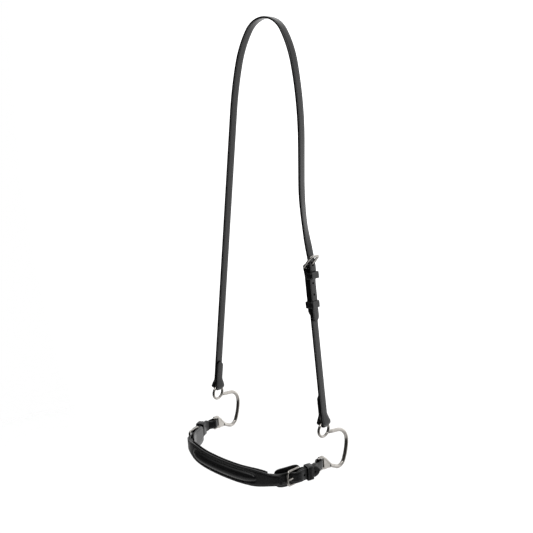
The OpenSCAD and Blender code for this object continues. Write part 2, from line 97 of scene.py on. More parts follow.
PIVOT = (75.3, -BUCKLE_DROP)
CHEEK_LEAN = math.degrees(math.atan2(RIGHT_X - PIVOT[0], PIVOT[1] - TURN_Z))
RING_FOLD_R = 3.7
RING_FOLD_PLY = 2.4
RING_FOLD_REACH = 12.0
BUCKLE_FOLD_R = FRAME_D / 2 + 0.35
EYE_FOLD_R = EYE_BAR_D / 2 + 0.8
EYE_FOLD_REACH = 10.0
NOSE_FOLD_REACH = 8.5
EYE_CHAPE_W = 12.6
CHAPE_PLY = 2.3
EYE_AT = (-3.0, -47.5)
COVER_T = 2.2
LINING_T = 2.0
PAD_HALF = 58.0
PAD_TAPER = 36.0
LINING_SHORT = 19.0
SAFE_W = 28.0
SAFE_L = 37.0
SAFE_BACK = 5.0
SAFE_DROP = 1.5
SAFE_T = 2.0
KEEPER_BACK = 14.0
KEEPER_GAP = 0.5
LAYER_GAP = 0.1
FIT_GAP = 0.3

# ---- Sizes of the visual model alone ---------------------------------------------
HOLE_R = 1.6          # punched holes, a little closed up
STITCH_INSET = 1.7    # from a strap's edge to its row of stitches


# ---- Routes ---------------------------------------------------------------------
# A pose is (x, y, heading in degrees); a stretch is (length, turn); a route is a list of them.
def cosd(a):
    return math.cos(math.radians(a))


def sind(a):
    return math.sin(math.radians(a))


def step(pose, length, turn):
    """The pose at the end of one stretch."""
    chord = length if turn == 0 else length * sind(turn / 2) / math.radians(turn / 2)
    heading = pose[2] + turn / 2
    return (pose[0] + chord * cosd(heading), pose[1] + chord * sind(heading), pose[2] + turn)


def walk(pose, stretches, pitch=1.2):
    """Poses along a route, at most a pitch apart."""
    poses = []
    for length, turn in stretches:
        n = max(1, math.ceil(length / pitch))
        poses += [step(pose, length * k / n, turn * k / n) for k in range(n)]
        pose = step(pose, length, turn)
    return poses + [pose]


def end_of(pose, stretches):
    """The pose at the end of a route."""
    for length, turn in stretches:
        pose = step(pose, length, turn)
    return pose


def route_pose(pose, stretches, d):
    """The pose at a distance along a route."""
    for length, turn in stretches[:-1]:
        if d <= length:
            return step(pose, d, turn * d / length)
        pose = step(pose, length, turn)
        d -= length
    return step(pose, d, stretches[-1][1] * d / stretches[-1][0])


def in_frame(pose, ahead, left):
    """The point at a place given ahead of a pose and to its left."""
    return (pose[0] + ahead * cosd(pose[2]) - left * sind(pose[2]),
            pose[1] + ahead * sind(pose[2]) + left * cosd(pose[2]))


def arc(r, turn):
    """A stretch of a given radius."""
    return (r * math.radians(abs(turn)), turn)


def smooth(t):
    """Eases from 0 at 0 to 1 at 1."""
    t = min(1.0, max(0.0, t))
    return t * t * (3 - 2 * t)


def lookup(table, x):
    """Eased interpolation in a list of (x, value)."""
    if x <= table[0][0]:
        return table[0][1]
    for (x0, v0), (x1, v1) in zip(table, table[1:]):
        if x <= x1:
            return v0 + (v1 - v0) * smooth((x - x0) / (x1 - x0))
    return table[-1][1]


def fold(r, reach, half, n=22):
    """Middle of a ply that folds round a bar: (along, across) from +half at reach to -half."""
    a0 = math.degrees(math.atan2(half, reach) + math.acos(r / math.hypot(reach, half)))
    turn = [(r * cosd(a0 + (360 - 2 * a0) * k / n), r * sind(a0 + (360 - 2 * a0) * k / n))
            for k in range(n + 1)]
    return [(reach, half)] + turn + [(reach, -half)]


def densify(pts, pitch=1.0):
    """The same corners with points between them, at most a pitch apart."""
    out = [pts[0]]
    for p, q in zip(pts, pts[1:]):
        n = max(1, math.ceil((q - p).length / pitch))
        out += [p.lerp(q, k / n) for k in range(1, n + 1)]
    return out


def resample(pts, pitch):
    """The same line with points an even distance apart."""
    total = sum((q - p).length for p, q in zip(pts, pts[1:]))
    n = max(2, round(total / pitch))
    out = [pts[0]]
    gone, i, target = 0.0, 0, total / n
    while len(out) < n:
        seg = (pts[i + 1] - pts[i]).length
        if gone + seg >= target:
            out.append(pts[i].lerp(pts[i + 1], (target - gone) / seg))
            target += total / n
        else:
            gone += seg
            i += 1
    return out + [pts[-1]]


def relax(pts, rounds=3):
    """Softens the corners of a line, ends held."""
    for _ in range(rounds):
        pts = [pts[0]] + [(a + b * 2 + c) / 4 for a, b, c in zip(pts, pts[1:], pts[2:])] + [pts[-1]]
    return pts


# ---- Places ---------------------------------------------------------------------
def rot(axis, angle):
    return Matrix.Rotation(math.radians(angle), 4, axis)


def shift(x, y, z):
    return Matrix.Translation((x, y, z))


ON_CHEEK = shift(PIVOT[0], 0, PIVOT[1]) @ rot("Y", -CHEEK_LEAN)
ON_RIGHT_END = shift(RIGHT_X, 0, TURN_Z) @ rot("Y", -CHEEK_LEAN)
EYE_Y = EYE_AT[0] * cosd(LOOP_TILT) + EYE_AT[1] * sind(LOOP_TILT)
EYE_Z = -DROP - EYE_AT[0] * sind(LOOP_TILT) + EYE_AT[1] * cosd(LOOP_TILT)
ON_NOSE = shift(SIDE_SHIFT, EYE_Y, EYE_Z) @ rot("X", NOSE_DROOP)


# Plan of a chape: poses lead forward from the eye bar to the pivot bar
EYE_POSE = (HALF_SPAN, 0, CHAPE_LEAN - 90)
CHAPE_ROUTE = [(8, 0), (12, -SIDE_TAPER - CHAPE_LEAN), (CHAPE_RUN - 20, 0)]
PIVOT_POSE = end_of(EYE_POSE, CHAPE_ROUTE)


def on_plan(side, pose):
    """Frame of a pose in the nosepiece's plan: -Y leads forward, X outwards."""
    mirror = Matrix.Diagonal((side, 1, 1, 1))
    return ON_NOSE @ mirror @ shift(pose[0], pose[1], 0) @ rot("Z", pose[2] + 90)


def at_pivot(side):
    """Frame of a nose buckle: Y along its pivot bar, Z towards its front bar, X outwards."""
    return on_plan(side, PIVOT_POSE) @ rot("X", 90) @ rot("Y", NOSE_FRAME_TILT)


# ---- Mesh makers ------------------------------------------------------------------
def to_object(name, bm, material, body, nodes, sharp=40):
    """Turns a mesh in mm into a finished piece that rides on a body and stands for CAD nodes."""
    bmesh.ops.remove_doubles(bm, verts=bm.verts, dist=0.002)
    bmesh.ops.recalc_face_normals(bm, faces=bm.faces)
    bmesh.ops.scale(bm, vec=(MM, MM, MM), verts=bm.verts)
    mesh = bpy.data.meshes.new(name)
    bm.to_mesh(mesh)
    bm.free()
    mesh.polygons.foreach_set("use_smooth", [True] * len(mesh.polygons))
    mesh.set_sharp_from_angle(angle=math.radians(sharp))
    mesh.materials.append(material)
    obj = bpy.data.objects.new(name, mesh)
    bpy.context.scene.collection.objects.link(obj)
    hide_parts(*nodes)
    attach(obj, body)
    return obj


def strap_section(w, t):
    """Points round a strap's cross-section, and how dark each is made: darkest at the edges for their
    burnished finish, and darker in the pressed lines as painted shade.

    A pressed line runs along each edge, and the face between the lines is a little crowned.
    """
    half, h = w / 2, t / 2
    r = min(h * 0.8, half * 0.6)
    depth = 0.16 * smooth((half - 3.0) / 2)
    line = max(half - 1.7, half * 0.6)
    quarter = [(half - r + r * cosd(a), h - r + r * sind(a), 1.0) for a in (0, 22.5, 45, 67.5, 90)]
    # the pressed line is painted darker, most at its bottom, as shade in the groove
    inner = [(line + 0.35, h, 0.35), (line, h - depth, 0.6), (line - 0.35, h, 0.15),
             (line * 0.6, h + 0.03, 0.0), (line * 0.2, h + 0.04, 0.0)]
    top = [(half, 0, 1.0)] + quarter + inner
    upper = top + [(-a, b, e) for a, b, e in reversed(top)]
    lower = [(a, -b, e) for a, b, e in reversed(upper)][1:-1]
    return upper + lower


def ribbon(pts, side, section, closed=False, twist=None):
    """Sweeps section(i) along pts, its width towards side and turned by twist(i) degrees."""
    bm = bmesh.new()
    # the edge layer sets how dark each point is: burnished finish at the cut edges, painted shade in
    # pressed lines and valleys
    edge = bm.verts.layers.float.new("edge")
    n = len(pts)
    rings = []
    for i, p in enumerate(pts):
        ahead = pts[(i + 1) % n] if closed else pts[min(i + 1, n - 1)]
        back = pts[i - 1] if closed or i else pts[0]
        along = (ahead - back).normalized()
        across = (side - along * side.dot(along)).normalized()
        if twist:
            across = Matrix.Rotation(math.radians(twist(i)), 3, along) @ across
        face = across.cross(along).normalized()
        ring = []
        for a, b, e in section(i):
            v = bm.verts.new(p + across * a + face * b)
            v[edge] = e
            ring.append(v)
        rings.append(ring)
    pairs = list(zip(rings, rings[1:])) + ([(rings[-1], rings[0])] if closed else [])
    for r0, r1 in pairs:
        m = len(r0)
        for k in range(m):
            bm.faces.new((r0[k], r0[(k + 1) % m], r1[(k + 1) % m], r1[k]))
    if not closed:
        for ring in (rings[0], rings[-1]):
            m = len(ring)
            half = m // 2
            # the cap is a ladder of quads between the upper and the lower half of the section
            for k in range(half):
                quad = (ring[k], ring[k + 1], ring[m - k - 1], ring[(m - k) % m])
                bm.faces.new(list(dict.fromkeys(quad)))
    return bm


def tube(pts, radius, closed=False, sides=20, bm=None):
    """A round bar along pts; radius is a number or a function of i."""
    bm = bm or bmesh.new()
    n = len(pts)
    rings = []
    side = None
    for i, p in enumerate(pts):
        ahead = pts[(i + 1) % n] if closed else pts[min(i + 1, n - 1)]
        back = pts[i - 1] if closed or i else pts[0]
        along = (ahead - back).normalized()
        if side is None:
            side = along.orthogonal().normalized()
        side = (side - along * side.dot(along)).normalized()
        up = along.cross(side)
        r = radius(i) if callable(radius) else radius
        angles = [360 * k / sides for k in range(sides)]
        rings.append([bm.verts.new(p + side * (r * cosd(a)) + up * (r * sind(a))) for a in angles])
    pairs = list(zip(rings, rings[1:])) + ([(rings[-1], rings[0])] if closed else [])
    for r0, r1 in pairs:
        for k in range(sides):
            bm.faces.new((r0[k], r0[(k + 1) % sides], r1[(k + 1) % sides], r1[k]))
    if not closed:
        bm.faces.new(rings[0])
        bm.faces.new(rings[-1])
    return bm


def lengths(pts):
    """How far along a line each of its points is."""
    out = [0.0]
    for p, q in zip(pts, pts[1:]):
        out.append(out[-1] + (q - p).length)
    return out


def apply_modifiers(obj):
    """Makes the result of an object's modifiers its mesh."""
    graph = bpy.context.evaluated_depsgraph_get()
    mesh = bpy.data.meshes.new_from_object(obj.evaluated_get(graph))
    old = obj.data
    obj.modifiers.clear()
    obj.data = mesh
    bpy.data.meshes.remove(old)


def cut(obj, cutters, sharp=35):
    """Takes the cutters, given as bmesh solids in mm, out of a finished piece."""
    bm = bmesh.new()
    for c in cutters:
        mesh = bpy.data.meshes.new("cutter")
        c.to_mesh(mesh)
        c.free()
        bm.from_mesh(mesh)
        bpy.data.meshes.remove(mesh)
    bmesh.ops.recalc_face_normals(bm, faces=bm.faces)
    bmesh.ops.scale(bm, vec=(MM, MM, MM), verts=bm.verts)
    mesh = bpy.data.meshes.new("cutters")
    bm.to_mesh(mesh)
    bm.free()
    tool = bpy.data.objects.new("cutters", mesh)
    bpy.context.scene.collection.objects.link(tool)
    mod = obj.modifiers.new("cut", "BOOLEAN")
    mod.operation = "DIFFERENCE"
    mod.solver = "EXACT"
    mod.use_self = True
    mod.object = tool
    apply_modifiers(obj)
    bpy.data.objects.remove(tool)
    bpy.data.meshes.remove(mesh)
    obj.data.set_sharp_from_angle(angle=math.radians(sharp))


def peg(place, r, length):
    """A round punch along the place's X axis."""
    bm = bmesh.new()
    bmesh.ops.create_cone(bm, cap_ends=True, segments=28, radius1=r, radius2=r, depth=length)
    bmesh.ops.transform(bm, matrix=place @ rot("Y", 90), verts=bm.verts)
    return bm


def block(place, size, r=0.0):
    """A cutter block; with r its corners in the place's YZ plane are round."""
    bm = bmesh.new()
    bmesh.ops.create_cube(bm, size=1, matrix=place @ Matrix.Diagonal((size[0], size[1], size[2], 1)))
    if r:
        along = (place.to_3x3() @ Vector((1, 0, 0))).normalized()
        edges = [e for e in bm.edges
                 if abs((e.verts[1].co - e.verts[0].co).normalized().dot(along)) > 0.99]
        bmesh.ops.bevel(bm, geom=edges, offset=r, segments=5, affect="EDGES")
    return bm


# ---- Materials ----------------------------------------------------------------------
def new_material(name):
    mat = bpy.data.materials.new(name)
    mat.use_nodes = True
    tree = mat.node_tree
    shader = tree.nodes["Principled BSDF"]
    return mat, tree, shader


def node(tree, kind, inputs=(), **values):
    """A shader node with its properties and inputs set; an input may be a socket to link."""
    n = tree.nodes.new(kind)
    for key, value in values.items():
        setattr(n, key, value)
    for key, value in dict(inputs).items():
        if isinstance(value, bpy.types.NodeSocket):
            tree.links.new(value, n.inputs[key])
        else:
            n.inputs[key].default_value = value
    return n


def ramp(tree, fac, stops):
    """A colour ramp's output; each stop is (position, grey or colour)."""
    n = node(tree, "ShaderNodeValToRGB", {"Fac": fac})
    points = n.color_ramp.elements
    while len(points) < len(stops):
        points.new(0.5)
    for point, (pos, value) in zip(points, stops):
        point.position = pos
        point.color = (*value, 1) if isinstance(value, tuple) else (value, value, value, 1)
    return n.outputs["Color"]


def leather(name, base, rough, grain=1.0, edge_rough=0.3):
    """Black dressed leather: fine grain, pull-up clouding, pores, burnished edges, and painted shade
    darkening its pressed lines and the valleys beside the bead.
    """
    mat, tree, shader = new_material(name)
    place = node(tree, "ShaderNodeTexCoord").outputs["Object"]
    cloud = node(tree, "ShaderNodeTexNoise",
                 {"Vector": place, "Scale": 70.0, "Detail": 4.0, "Roughness": 0.6})
    fine = node(tree, "ShaderNodeTexNoise",
                {"Vector": place, "Scale": 900.0, "Detail": 5.0, "Roughness": 0.65})
    cells = node(tree, "ShaderNodeTexVoronoi", {"Vector": place, "Scale": 1500.0, "Randomness": 1.0})
    pores = node(tree, "ShaderNodeTexVoronoi", {"Vector": place, "Scale": 620.0, "Randomness": 1.0})
    edge = node(tree, "ShaderNodeAttribute", attribute_name="edge").outputs["Fac"]
    dark = tuple(c * 0.62 for c in base)
    light = tuple(min(1, c * 1.5) for c in base)
    colour = ramp(tree, cloud.outputs["Fac"], [(0.28, dark), (0.5, base), (0.78, light)])
    # darker by the edge layer: burnished finish at the cut edges, painted shade in the pressed lines
    # and beside the bead
    edge_finish_and_groove_shade = node(tree, "ShaderNodeMixRGB", {"Fac": edge, "Color1": colour,
                                               "Color2": (*[c * 0.35 for c in base], 1)})
    tree.links.new(edge_finish_and_groove_shade.outputs["Color"], shader.inputs["Base Color"])
    wear = node(tree, "ShaderNodeMapRange",
                {"Value": fine.outputs["Fac"], "From Min": 0.3, "From Max": 0.7,
                 "To Min": rough - 0.07, "To Max": rough + 0.09})
    rough_mix = node(tree, "ShaderNodeMix",
                     {"Factor": edge, "A": wear.outputs["Result"], "B": edge_rough}, data_type="FLOAT")
    tree.links.new(rough_mix.outputs["Result"], shader.inputs["Roughness"])
    grain_h = node(tree, "ShaderNodeMath", {0: cells.outputs["Distance"], 1: 0.55},
                   operation="MULTIPLY")
    pore_h = ramp(tree, pores.outputs["Distance"], [(0.0, 0.0), (0.16, 1.0)])
    sum_h = node(tree, "ShaderNodeMath", {0: grain_h.outputs[0], 1: fine.outputs["Fac"]},
                 operation="ADD")
    all_h = node(tree, "ShaderNodeMath", {0: sum_h.outputs[0], 1: pore_h}, operation="ADD")
    bump = node(tree, "ShaderNodeBump",
                {"Height": all_h.outputs[0], "Strength": 0.22 * grain, "Distance": 0.00022})
    tree.links.new(bump.outputs["Normal"], shader.inputs["Normal"])
    shader.inputs["Specular IOR Level"].default_value = 0.42
    return mat


def polished_steel():
    """Bright steel with smears of handling and faint swirls from the polishing wheel."""
    mat, tree, shader = new_material("polished_steel")
    place = node(tree, "ShaderNodeTexCoord").outputs["Object"]
    smear = node(tree, "ShaderNodeTexNoise", {"Vector": place, "Scale": 160.0, "Detail": 4.0})
    swirl = node(tree, "ShaderNodeTexNoise",
                 {"Vector": place, "Scale": 2400.0, "Detail": 2.0, "Distortion": 1.5})
    colour = ramp(tree, smear.outputs["Fac"], [(0.3, (0.31, 0.295, 0.275)), (0.7, (0.44, 0.42, 0.395))])
    tree.links.new(colour, shader.inputs["Base Color"])
    shader.inputs["Metallic"].default_value = 1.0
    rough = node(tree, "ShaderNodeMapRange", {"Value": smear.outputs["Fac"], "From Min": 0.3,
                                              "From Max": 0.7, "To Min": 0.13, "To Max": 0.24})
    tree.links.new(rough.outputs["Result"], shader.inputs["Roughness"])
    bump = node(tree, "ShaderNodeBump",
                {"Height": swirl.outputs["Fac"], "Strength": 0.05, "Distance": 0.0001})
    tree.links.new(bump.outputs["Normal"], shader.inputs["Normal"])
    return mat


def waxed_thread():
    """Black thread with the light and dark turns of its twist."""
    mat, tree, shader = new_material("thread")
    place = node(tree, "ShaderNodeTexCoord").outputs["Object"]
    twist = node(tree, "ShaderNodeTexWave",
                 {"Vector": place, "Scale": 900.0, "Distortion": 2.0, "Detail": 2.0})
    colour = ramp(tree, twist.outputs["Fac"],
                  [(0.2, (0.012, 0.012, 0.013)), (0.8, (0.05, 0.05, 0.052))])
    tree.links.new(colour, shader.inputs["Base Color"])
    bump = node(tree, "ShaderNodeBump",
                {"Height": twist.outputs["Fac"], "Strength": 0.5, "Distance": 0.0002})
    tree.links.new(bump.outputs["Normal"], shader.inputs["Normal"])
    shader.inputs["Roughness"].default_value = 0.6
    return mat


BRIDLE = leather("bridle_leather", (0.0055, 0.0055, 0.0060), 0.25)
EDGED = leather("edge_leather", (0.004, 0.004, 0.0045), 0.28)
LINING = leather("lining_leather", (0.010, 0.010, 0.0105), 0.60, grain=1.6, edge_rough=0.5)
STEEL = polished_steel()
THREAD = waxed_thread()

# ---- Camera, floor and light -----------------------------------------------------------
VIEW_AZ = 43.0
VIEW_OUT = 1.150
VIEW_Z = -0.0675
VIEW_RIGHT = 0.00095
VIEW_PITCH = 12.65
back = Vector((sind(VIEW_AZ), -cosd(VIEW_AZ), 0))
right = Vector((cosd(VIEW_AZ), sind(VIEW_AZ), 0))
camera = bpy.data.objects.new("camera", bpy.data.cameras.new("camera"))
bpy.context.scene.collection.objects.link(camera)
camera.location = back * VIEW_OUT + right * VIEW_RIGHT + Vector((0, 0, VIEW_Z))
camera.rotation_euler = (math.radians(90 - VIEW_PITCH), 0, math.radians(VIEW_AZ))
camera.data.lens = 58.4
camera.data.sensor_width = 36.0
camera.data.clip_start = 0.01
bpy.context.scene.camera = camera
bpy.context.scene.view_settings.view_transform = "Standard"


def plane_light(name, at, aim, size, power):
    """A soft box at a place, in metres, turned to shine at another; power is in watts."""
    data = bpy.data.lights.new(name, "AREA")
    data.shape = "RECTANGLE"
    data.size, data.size_y = size
    data.energy = power
    lamp = bpy.data.objects.new(name, data)
    lamp.location = at
    lamp.rotation_euler = (Vector(aim) - Vector(at)).to_track_quat("-Z", "Y").to_euler()
    bpy.context.scene.collection.objects.link(lamp)


def studio_world():
    """White as seen; as light it is bright behind, above and below, and dim in front."""
    world = bpy.data.worlds.new("studio")
    bpy.context.scene.world = world
    world.use_nodes = True
    tree = world.node_tree
    direction = node(tree, "ShaderNodeTexCoord").outputs["Generated"]
    axes = node(tree, "ShaderNodeSeparateXYZ", {"Vector": direction})

    def glow(axis, start, full, low, high):
        """Light that grows from low to high as a direction's axis goes from start to full."""
        return node(tree, "ShaderNodeMapRange",
                    {"Value": axes.outputs[axis], "From Min": start, "From Max": full,
                     "To Min": low, "To Max": high}).outputs["Result"]

    def brighter(a, b):
        return node(tree, "ShaderNodeMath", {0: a, 1: b}, operation="MAXIMUM").outputs[0]

    behind = glow("Y", 0.05, 1.0, 0.05, 2.0)
    above = glow("Z", 0.55, 0.9, 0.0, 1.1)
    below = glow("Z", -0.5, -0.75, 0.0, 0.9)
    seen = node(tree, "ShaderNodeLightPath").outputs["Is Camera Ray"]
    background = tree.nodes["Background"]
    background.inputs["Color"].default_value = (1, 1, 1, 1)
    strength = brighter(brighter(behind, brighter(above, below)), seen)
    tree.links.new(strength, background.inputs["Strength"])


studio_world()
plane_light("key", (0.9, -0.9, 0.9), (0, 0, -0.3), (0.5, 0.5), 9)
plane_light("top", (-0.2, -0.3, 1.3), (0, 0, -0.6), (1.0, 1.0), 6)


def floor_material():
    """Pale matt floor that fades out round the object, so no horizon shows."""
    mat, tree, shader = new_material("floor")
    place = node(tree, "ShaderNodeTexCoord").outputs["Object"]
    far = node(tree, "ShaderNodeVectorMath", {0: place}, operation="LENGTH").outputs["Value"]
    fade = node(tree, "ShaderNodeMapRange",
                {"Value": far, "From Min": 0.5, "From Max": 1.5, "To Min": 1.0, "To Max": 0.0},
                interpolation_type="SMOOTHSTEP")
    tree.links.new(fade.outputs["Result"], shader.inputs["Alpha"])
    shader.inputs["Base Color"].default_value = (0.95, 0.95, 0.95, 1)
    shader.inputs["Roughness"].default_value = 0.9
    shader.inputs["Emission Color"].default_value = (1, 1, 1, 1)
    shader.inputs["Emission Strength"].default_value = 0.12
    return mat


def studio_floor():
    """The floor, far enough below the hanging object to keep its shadow soft."""
    bm = bmesh.new()
    bmesh.ops.create_grid(bm, x_segments=1, y_segments=1, size=1.6)
    mesh = bpy.data.meshes.new("floor")
    bm.to_mesh(mesh)
    bm.free()
    mesh.materials.append(floor_material())
    floor = bpy.data.objects.new("floor", mesh)
    floor.location = (0, 0, -0.95)
    floor.visible_glossy = False
    bpy.context.scene.collection.objects.link(floor)


studio_floor()

# ---- Headpiece ----------------------------------------------------------------------------
Y = Vector((0, 1, 0))


def up_line(place, pairs):
    """Points given as (up, out) in a frame whose Z runs up the strap and X out of its face."""
    return [place @ Vector((out, 0, up)) for up, out in pairs]


apex = (0.0, STRAP_T / 2, 0.0)
shoulder = step(apex, *arc(CROWN_R, -CROWN_HALF_ANGLE))
RIGHT_ROUTE = [arc(SHOULDER_R, -SHOULDER_TURN), arc(FLANK_R, -RIGHT_FLANK_TURN), (RIGHT_STRAIGHT, 0),
               arc(FLARE_R, FLARE_TURN)]
LEFT_ROUTE = [arc(SHOULDER_R, -SHOULDER_TURN), arc(FLANK_R, -LEFT_FLANK_TURN)]
right_poses = walk(shoulder, RIGHT_ROUTE)
left_poses = [(-x, z) for x, z, _ in walk(shoulder, LEFT_ROUTE)]
left_lean = math.degrees(math.atan2(left_poses[-1][0] - LEFT_X, left_poses[-1][1] - TURN_Z))
ON_LEFT_END = shift(LEFT_X, 0, TURN_Z) @ rot("Y", left_lean)


def cheek_xz(down, out):
    """A point given down along the cheek strap from the buckle's pivot and out from it."""
    return (PIVOT[0] + down * sind(CHEEK_LEAN) + out * cosd(CHEEK_LEAN),
            PIVOT[1] - down * cosd(CHEEK_LEAN) + out * sind(CHEEK_LEAN))


# The tail comes over the buckle's front bar, bends in and lies down on the cheek strap
TAIL_BENDS = [(14, -20.5), (6, 0), (7, 12), (TAIL_L - 22, 0)]
tail = walk((*cheek_xz(-4, 6.75), CHEEK_LEAN - 90 + 8.5), TAIL_BENDS, 0.8)
crown_arc = [(x, z) for x, z, _ in walk(apex, [arc(CROWN_R, -CROWN_HALF_ANGLE)])]
over_crown = [(-x, z) for x, z in reversed(crown_arc)][:-1] + crown_arc

right_line = [Vector((x, 0, z)) for x, z, _ in right_poses[1:-2] + tail[1:]]
top_line = [Vector((x, 0, z)) for x, z in over_crown]
left_line = [Vector((x, 0, z)) for x, z in left_poses[1:]]

# Shape of a turned end seen from the front: distance up from the ring's steel, and width
END_WIDTH = [(-6.2, 4.6), (-5, 6.6), (-3, 8.6), (0.2, 15.6), (1.6, 16.6), (4, 15.6), (12, STRAP_W)]
END_PLY = [(8, RING_FOLD_PLY), (14, STRAP_T)]


# A turned end from the side, as (up, out): up the outer face, round the steel, down the inner
RING_TURN = [(v, -u)
             for v, u in fold(RING_FOLD_R + RING_FOLD_PLY / 2, RING_FOLD_REACH + 1, STRAP_T / 2)]
left_fold = up_line(ON_LEFT_END, [(TURN_L - 2, -STRAP_T / 2)] + RING_TURN + [(TURN_L, STRAP_T / 2)])
crown_pts = densify(list(reversed(right_line)) + list(reversed(top_line)) + left_line + left_fold, 1.2)
crown_pts = relax(resample(crown_pts, 1.1), 3)


def taper_tip(left, w, blunt):
    """Narrows the last few millimetres of a strap end."""
    if left >= blunt:
        return w
    return w * max(0.12, math.sqrt(max(0.0, 1 - (1 - left / blunt) ** 2)))


def skive(w, t, left, reach, tip_w, thinning):
    """Width and thickness near a hidden end, which narrows to tip_w and is pared thin."""
    if left >= reach:
        return w, t
    return tip_w + (w - tip_w) * smooth(left / reach), t * lookup(thinning, left)


def crown_section(i):
    p = crown_pts[i]
    s, total = crown_s[i], crown_s[-1]
    w, t = STRAP_W, STRAP_T
    near_left_ring = p.x < -60 and p.z < -440
    if near_left_ring:
        up = (ON_LEFT_END.inverted() @ p).z
        w = lookup(END_WIDTH, up)
        t = lookup(END_PLY, up)
    w = taper_tip(s, w, 7.5)
    return strap_section(*skive(w, t, total - s, 6, 6.0, [(0, 0.55), (6, 1.0)]))


crown_s = lengths(crown_pts)
apex_i = max(range(len(crown_pts)), key=lambda i: crown_pts[i].z)


# Twist of the buckled side, in degrees, by the distance down from the middle of the crown
CROWN_TWIST = [(10, 0.0), (60, -5.0), (110, 0.0), (240, 6.0), (285, 12.0), (318, 0.0)]


def crown_twist(i):
    return lookup(CROWN_TWIST, crown_s[apex_i] - crown_s[i])


crown = to_object("crown_strap_leather", ribbon(crown_pts, Y, crown_section, twist=crown_twist),
                  BRIDLE, "headstall", ["crown_strap"])
hole_places = [ON_CHEEK @ shift(0, 0, -22 - 15 * k) for k in range(3)]
pin_off = FRAME_D / 2 + 0.1 + TONGUE_D / 2 + 0.15
slit = ON_CHEEK @ rot("Y", CROWN_FRAME_TILT) @ shift(pin_off + 0.3, 0, 8.5)
slit_cut = block(slit, (TONGUE_D + 1.8, TONGUE_D + 0.9, 13))
cut(crown, [peg(p, HOLE_R, 24) for p in hole_places] + [slit_cut])

# Cheek strap: tip on the inner face at the ring, round the ring, up, round the buckle, down
half_t = STRAP_T / 2
ring_turn = up_line(ON_RIGHT_END, [(TURN_L, -half_t)] + RING_TURN)
bar_fold = [(-v, u) for v, u in fold(BUCKLE_FOLD_R + 1.2, 11, half_t)]
bar_turn = up_line(ON_CHEEK, bar_fold + [(-CHAPE_L, -half_t)])
cheek_pts = relax(resample(densify(ring_turn + bar_turn, 1.0), 1.0), 2)
cheek_s = lengths(cheek_pts)


def cheek_section(i):
    p = cheek_pts[i]
    s, total = cheek_s[i], cheek_s[-1]
    up = (ON_RIGHT_END.inverted() @ p).z
    down = -(ON_CHEEK.inverted() @ p).z
    w = lookup(END_WIDTH, up)
    t = min(lookup(END_PLY, up), lookup([(5, 2.4), (11, STRAP_T)], down))
    w, t = skive(w, t, s, 6, 6.0, [(0, 0.55), (6, 1.0)])
    return strap_section(*skive(w, t, total - s, 10, 5.0, [(0, 0.5), (9, 1.0)]))


cheek = to_object("cheek_strap_leather", ribbon(cheek_pts, Y, cheek_section),
                  BRIDLE, "headstall", ["cheek_strap"])
cut(cheek, [block(ON_CHEEK, (16, 4.4, 18), 2.0)])


# ---- Keepers ---------------------------------------------------------------------------------
def rounded_loop(half_x, half_y, r):
    """A closed loop of points round a rectangle, as (x, y)."""
    pts = []
    for cx, cy, a0 in ((half_x - r, half_y - r, 0), (r - half_x, half_y - r, 90),
                       (r - half_x, r - half_y, 180), (half_x - r, r - half_y, 270)):
        pts += [(cx + r * cosd(a0 + 15 * k), cy + r * sind(a0 + 15 * k)) for k in range(7)]
    return pts


def keeper_section(width, thick):
    """Points round a keeper's cross-section, with a pressed line along each edge; each point's third
    value darkens it, for the burnished edges and as painted shade in the pressed lines.
    """
    half, h = width / 2, thick / 2
    r = h * 0.85
    corner = [(half - r + r * cosd(a), h - r + r * sind(a), 1.0) for a in (0, 22, 45, 68, 90)]
    top = corner + [(half - 1.3, h, 0.3), (half - 1.6, h - 0.14, 0.6), (half - 1.9, h, 0.1),
                    (half * 0.3, h + 0.05, 0.0)]
    upper = [(half, 0, 1.0)] + top + [(-a, b, e) for a, b, e in reversed(top)] + [(-half, 0, 1.0)]
    return upper + [(a, -b, e) for a, b, e in reversed(upper)][1:-1]


def keeper_piece(name, place, inner, body, cad, open_at=None):
    """A band of leather round a stack; place has Z along the strap.

    With open_at it is open on its inner side there, where it is sewn on.
    """
    hx, hy = inner[0] / 2 + KEEPER_T / 2, inner[1] / 2 + KEEPER_T / 2
    outline = rounded_loop(hx, hy, KEEPER_CORNER_R)
    closed = open_at is None
    if closed:
        outline.append(outline[0])
    else:
        kept = (q for q in outline if q[0] > open_at)
        outline = sorted(kept, key=lambda q: -math.atan2(q[1], q[0]))
        outline = [(open_at, hy)] + outline + [(open_at, -hy)]
    pts = densify([place @ Vector((x, y, 0)) for x, y in outline], 0.8)
    if closed:
        pts.pop()
    side = (place.to_3x3() @ Vector((0, 0, 1))).normalized()
    bm = ribbon(pts, side, lambda i: keeper_section(KEEPER_W, KEEPER_T), closed=closed)
    return to_object(name, bm, EDGED, body, cad)


stack = 3 * STRAP_T + LAYER_GAP
keeper_piece("crown_fixed_keeper_leather", ON_CHEEK @ shift(STRAP_T + 3.5, 0, -FIXED_KEEPER_AT),
             (6.8, STRAP_W + 1), "headstall", ["crown_fixed_keeper"], open_at=-4.4)
keeper_piece("crown_sliding_keeper_leather", ON_CHEEK @ shift(stack / 2 - STRAP_T, 0, -CROWN_KEEPER_AT),
             (stack + 2 * KEEPER_GAP, STRAP_W + 0.6), "crown_keeper", ["crown_sliding_keeper"])


